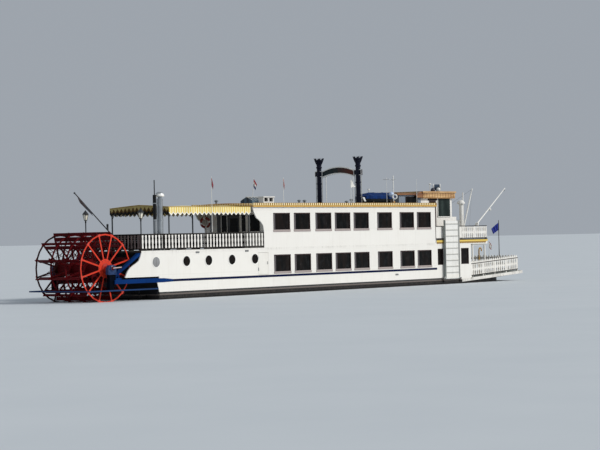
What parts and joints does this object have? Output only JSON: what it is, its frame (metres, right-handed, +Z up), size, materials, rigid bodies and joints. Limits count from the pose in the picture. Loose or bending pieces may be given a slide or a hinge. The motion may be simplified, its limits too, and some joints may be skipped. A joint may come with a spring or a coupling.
{
  "type": "paddle steamer, 1:2 scale model",
  "caption": "Two-deck sternwheel paddle steamer on a flat-bottomed barge hull, with a turning wheel, rudders, hinged doors, gangway, boom and folding mast.",
  "frame": {"origin": "on the flat hull bottom, on the centreline, amidships, so the boat stands on Z = 0", "axes": "+X forward to the bow, +Y to port, +Z up"},
  "size_m": [22.0295, 2.645, 4.905],
  "materials": {
    "hull_paint": "satin black bitumen paint on steel plate",
    "white_paint": "gloss white ship's enamel on steel plate",
    "deck_paint": "matte grey deck paint",
    "roof_trim": "yellow-orange paint on timber trim",
    "roof_wood": "orange-brown varnished timber",
    "door_paint": "gloss white enamel",
    "canopy_cloth": "striped canvas, matte",
    "frame_dark": "satin dark grey paint on tube",
    "rail_paint": "white paint on sawn boards",
    "lantern_iron": "satin black paint on cast iron",
    "varnished_wood": "varnished pine",
    "blue_paint": "gloss blue enamel on steel",
    "bearing_iron": "worn blue paint on a cast block",
    "wheel_dark": "satin dark red paint on steel and boards",
    "wheel_red": "gloss bright red paint on steel",
    "gangway_metal": "white painted aluminium with grey side rails",
    "bare_steel": "dull silver sheet",
    "black_paint": "matte black stove paint",
    "funnel_navy": "gloss dark navy enamel",
    "cover_cloth": "blue tarpaulin over a white hull",
    "skylight_metal": "blue-grey painted frame with glazing",
    "mast_paint": "gloss white enamel on tube",
    "engine_iron": "grey engine enamel"
  },
  "bodies": {
    "ship": {"hull": "hull_paint", "side_lower_starboard": "white_paint", "side_lower_port": "white_paint", "bulkhead_stern": "white_paint", "engine": "engine_iron", "bulkhead_saloon": "white_paint", "lobby_front": "white_paint", "deck_upper": "deck_paint", "side_upper_starboard": "white_paint", "side_upper_port": "white_paint", "bulkhead_aft": "white_paint", "bulkhead_fore": "white_paint", "roof": "roof_trim", "wheelhouse": "white_paint", "wheelhouse_roof": "roof_wood", "canopy": "canopy_cloth", "canopy_frame": "frame_dark", "rail_stern": "rail_paint", "rail_aft_starboard": "rail_paint", "rail_aft_port": "rail_paint", "rail_fore_starboard": "rail_paint", "rail_fore_port": "rail_paint", "rail_fore_front": "rail_paint", "rail_bow_starboard": "rail_paint", "rail_bow_port": "rail_paint", "rail_bow_front": "rail_paint", "promenade_frame": "white_paint", "lantern_starboard": "lantern_iron", "lantern_port": "lantern_iron", "ensign_staff": "varnished_wood", "girder_starboard": "blue_paint", "girder_port": "blue_paint", "bearing_starboard": "bearing_iron", "bearing_port": "bearing_iron", "wheel_guard": "blue_paint", "exhaust_silver": "bare_steel", "exhaust_black": "black_paint", "funnel_starboard": "funnel_navy", "funnel_port": "funnel_navy", "arch_board": "funnel_navy", "dinghy": "cover_cloth", "vent_box": "white_paint", "skylight": "skylight_metal", "ventilator": "mast_paint", "fore_mast": "mast_paint", "boom_heel": "mast_paint"},
    "paddle_wheel": {"wheel_shaft": "wheel_dark", "wheel_disc_starboard": "wheel_red", "wheel_disc_port": "wheel_red", "wheel_core": "wheel_dark"},
    "rudder_starboard": {"rudder_starboard": "hull_paint"},
    "rudder_port": {"rudder_port": "hull_paint"},
    "gangway": {"gangway": "gangway_metal"},
    "door_aft": {"door_aft": "door_paint"},
    "door_bow": {"door_bow": "door_paint"},
    "hatch_side": {"hatch_side": "door_paint"},
    "door_wheelhouse": {"door_wheelhouse": "door_paint"},
    "boom": {"boom": "mast_paint"},
    "roof_mast": {"roof_mast": "mast_paint"}
  },
  "joints": [
    {"name": "paddle_wheel_turn", "type": "hinge", "parent": "ship", "child": "paddle_wheel", "pos_m": [-11.45, 0, 1.485], "axis": [0, 1, 0], "continuous": true},
    {"name": "rudder_starboard_steer", "type": "hinge", "parent": "ship", "child": "rudder_starboard", "pos_m": [-9.775, -0.6, 0.525], "axis": [0, 0, 1], "range_deg": [-35, 35]},
    {"name": "rudder_port_steer", "type": "hinge", "parent": "ship", "child": "rudder_port", "pos_m": [-9.775, 0.6, 0.525], "axis": [0, 0, 1], "range_deg": [-35, 35]},
    {"name": "gangway_lower", "type": "hinge", "parent": "ship", "child": "gangway", "pos_m": [5.04, -1.3, 0.715], "axis": [1, 0, 0], "range_deg": [0, 100]},
    {"name": "door_aft_swing", "type": "hinge", "parent": "ship", "child": "door_aft", "pos_m": [-4.86, 0.223, 1.975], "axis": [0, 0, -1], "range_deg": [0, 110]},
    {"name": "door_bow_swing", "type": "hinge", "parent": "ship", "child": "door_bow", "pos_m": [6.30965, -0.223, 0.812], "axis": [0, 0, -1], "range_deg": [0, 100]},
    {"name": "hatch_side_swing", "type": "hinge", "parent": "ship", "child": "hatch_side", "pos_m": [-5.168, -1.25, 1.132], "axis": [0, 0, -1], "range_deg": [0, 100]},
    {"name": "door_wheelhouse_swing", "type": "hinge", "parent": "ship", "child": "door_wheelhouse", "pos_m": [4.537, -0.75, 2.075], "axis": [0, 0, -1], "range_deg": [0, 90]},
    {"name": "boom_luff", "type": "hinge", "parent": "ship", "child": "boom", "pos_m": [7.395, -0.79, 2.62], "axis": [0, -1, 0], "range_deg": [-30, 45]},
    {"name": "roof_mast_fold", "type": "hinge", "parent": "ship", "child": "roof_mast", "pos_m": [1.92, -1.18, 3.385], "axis": [0, -1, 0], "range_deg": [0, 88]}
  ],
  "couplings": [
    {"joint": "rudder_port_steer", "follows": "rudder_starboard_steer", "ratio": 1}
  ]
}
